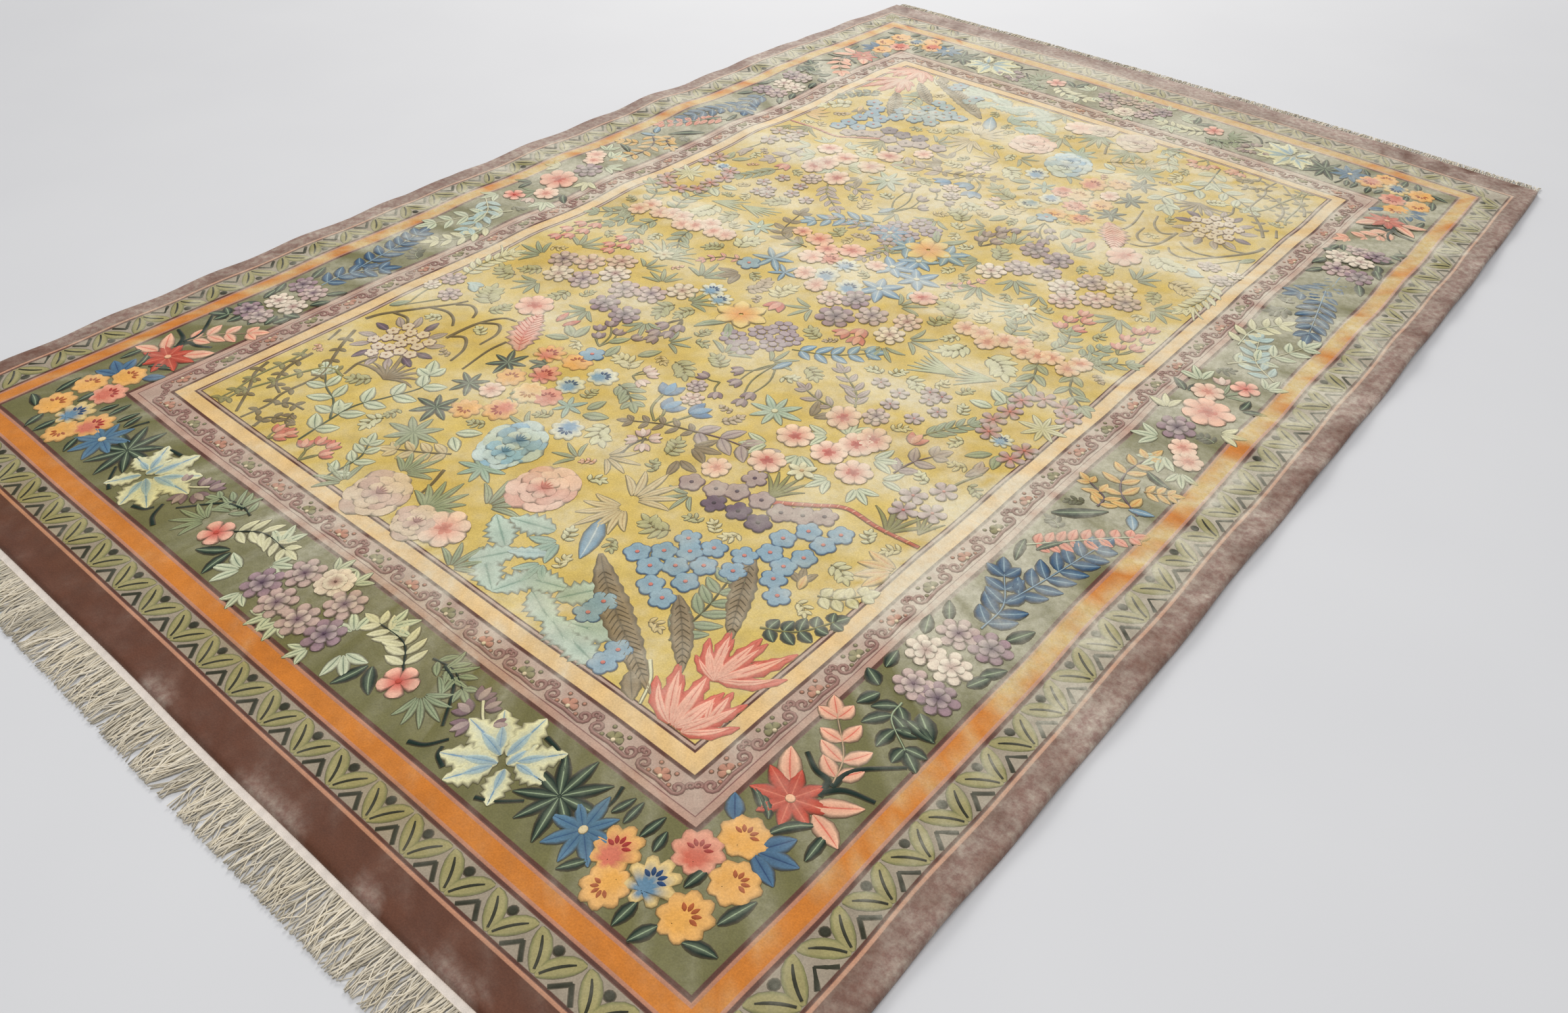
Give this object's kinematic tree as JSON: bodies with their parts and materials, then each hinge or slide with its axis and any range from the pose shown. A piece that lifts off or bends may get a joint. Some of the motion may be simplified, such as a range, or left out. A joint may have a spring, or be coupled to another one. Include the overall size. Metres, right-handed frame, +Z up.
{
  "type": "chinese carved pile rug with fringed ends",
  "caption": "Oblong hand-knotted carved-pile rug lying flat, with nested border bands, soft cross waves and a fringed woven strip at each end.",
  "frame": {"origin": "middle of the whole footprint, fringes included, on the floor", "axes": "+Y along the rug's length towards the end with the short fringe, +X across it, +Z up out of the pile"},
  "size_m": [1.8456, 2.878, 0.0195],
  "materials": {
    "pile": "silky wool cut pile, carved round its motifs",
    "fringe": "undyed cotton warp threads and plain-woven end strip"
  },
  "bodies": {
    "root": {"pile_rug": "pile", "fringe_near": "fringe", "fringe_far": "fringe"}
  },
  "joints": []
}
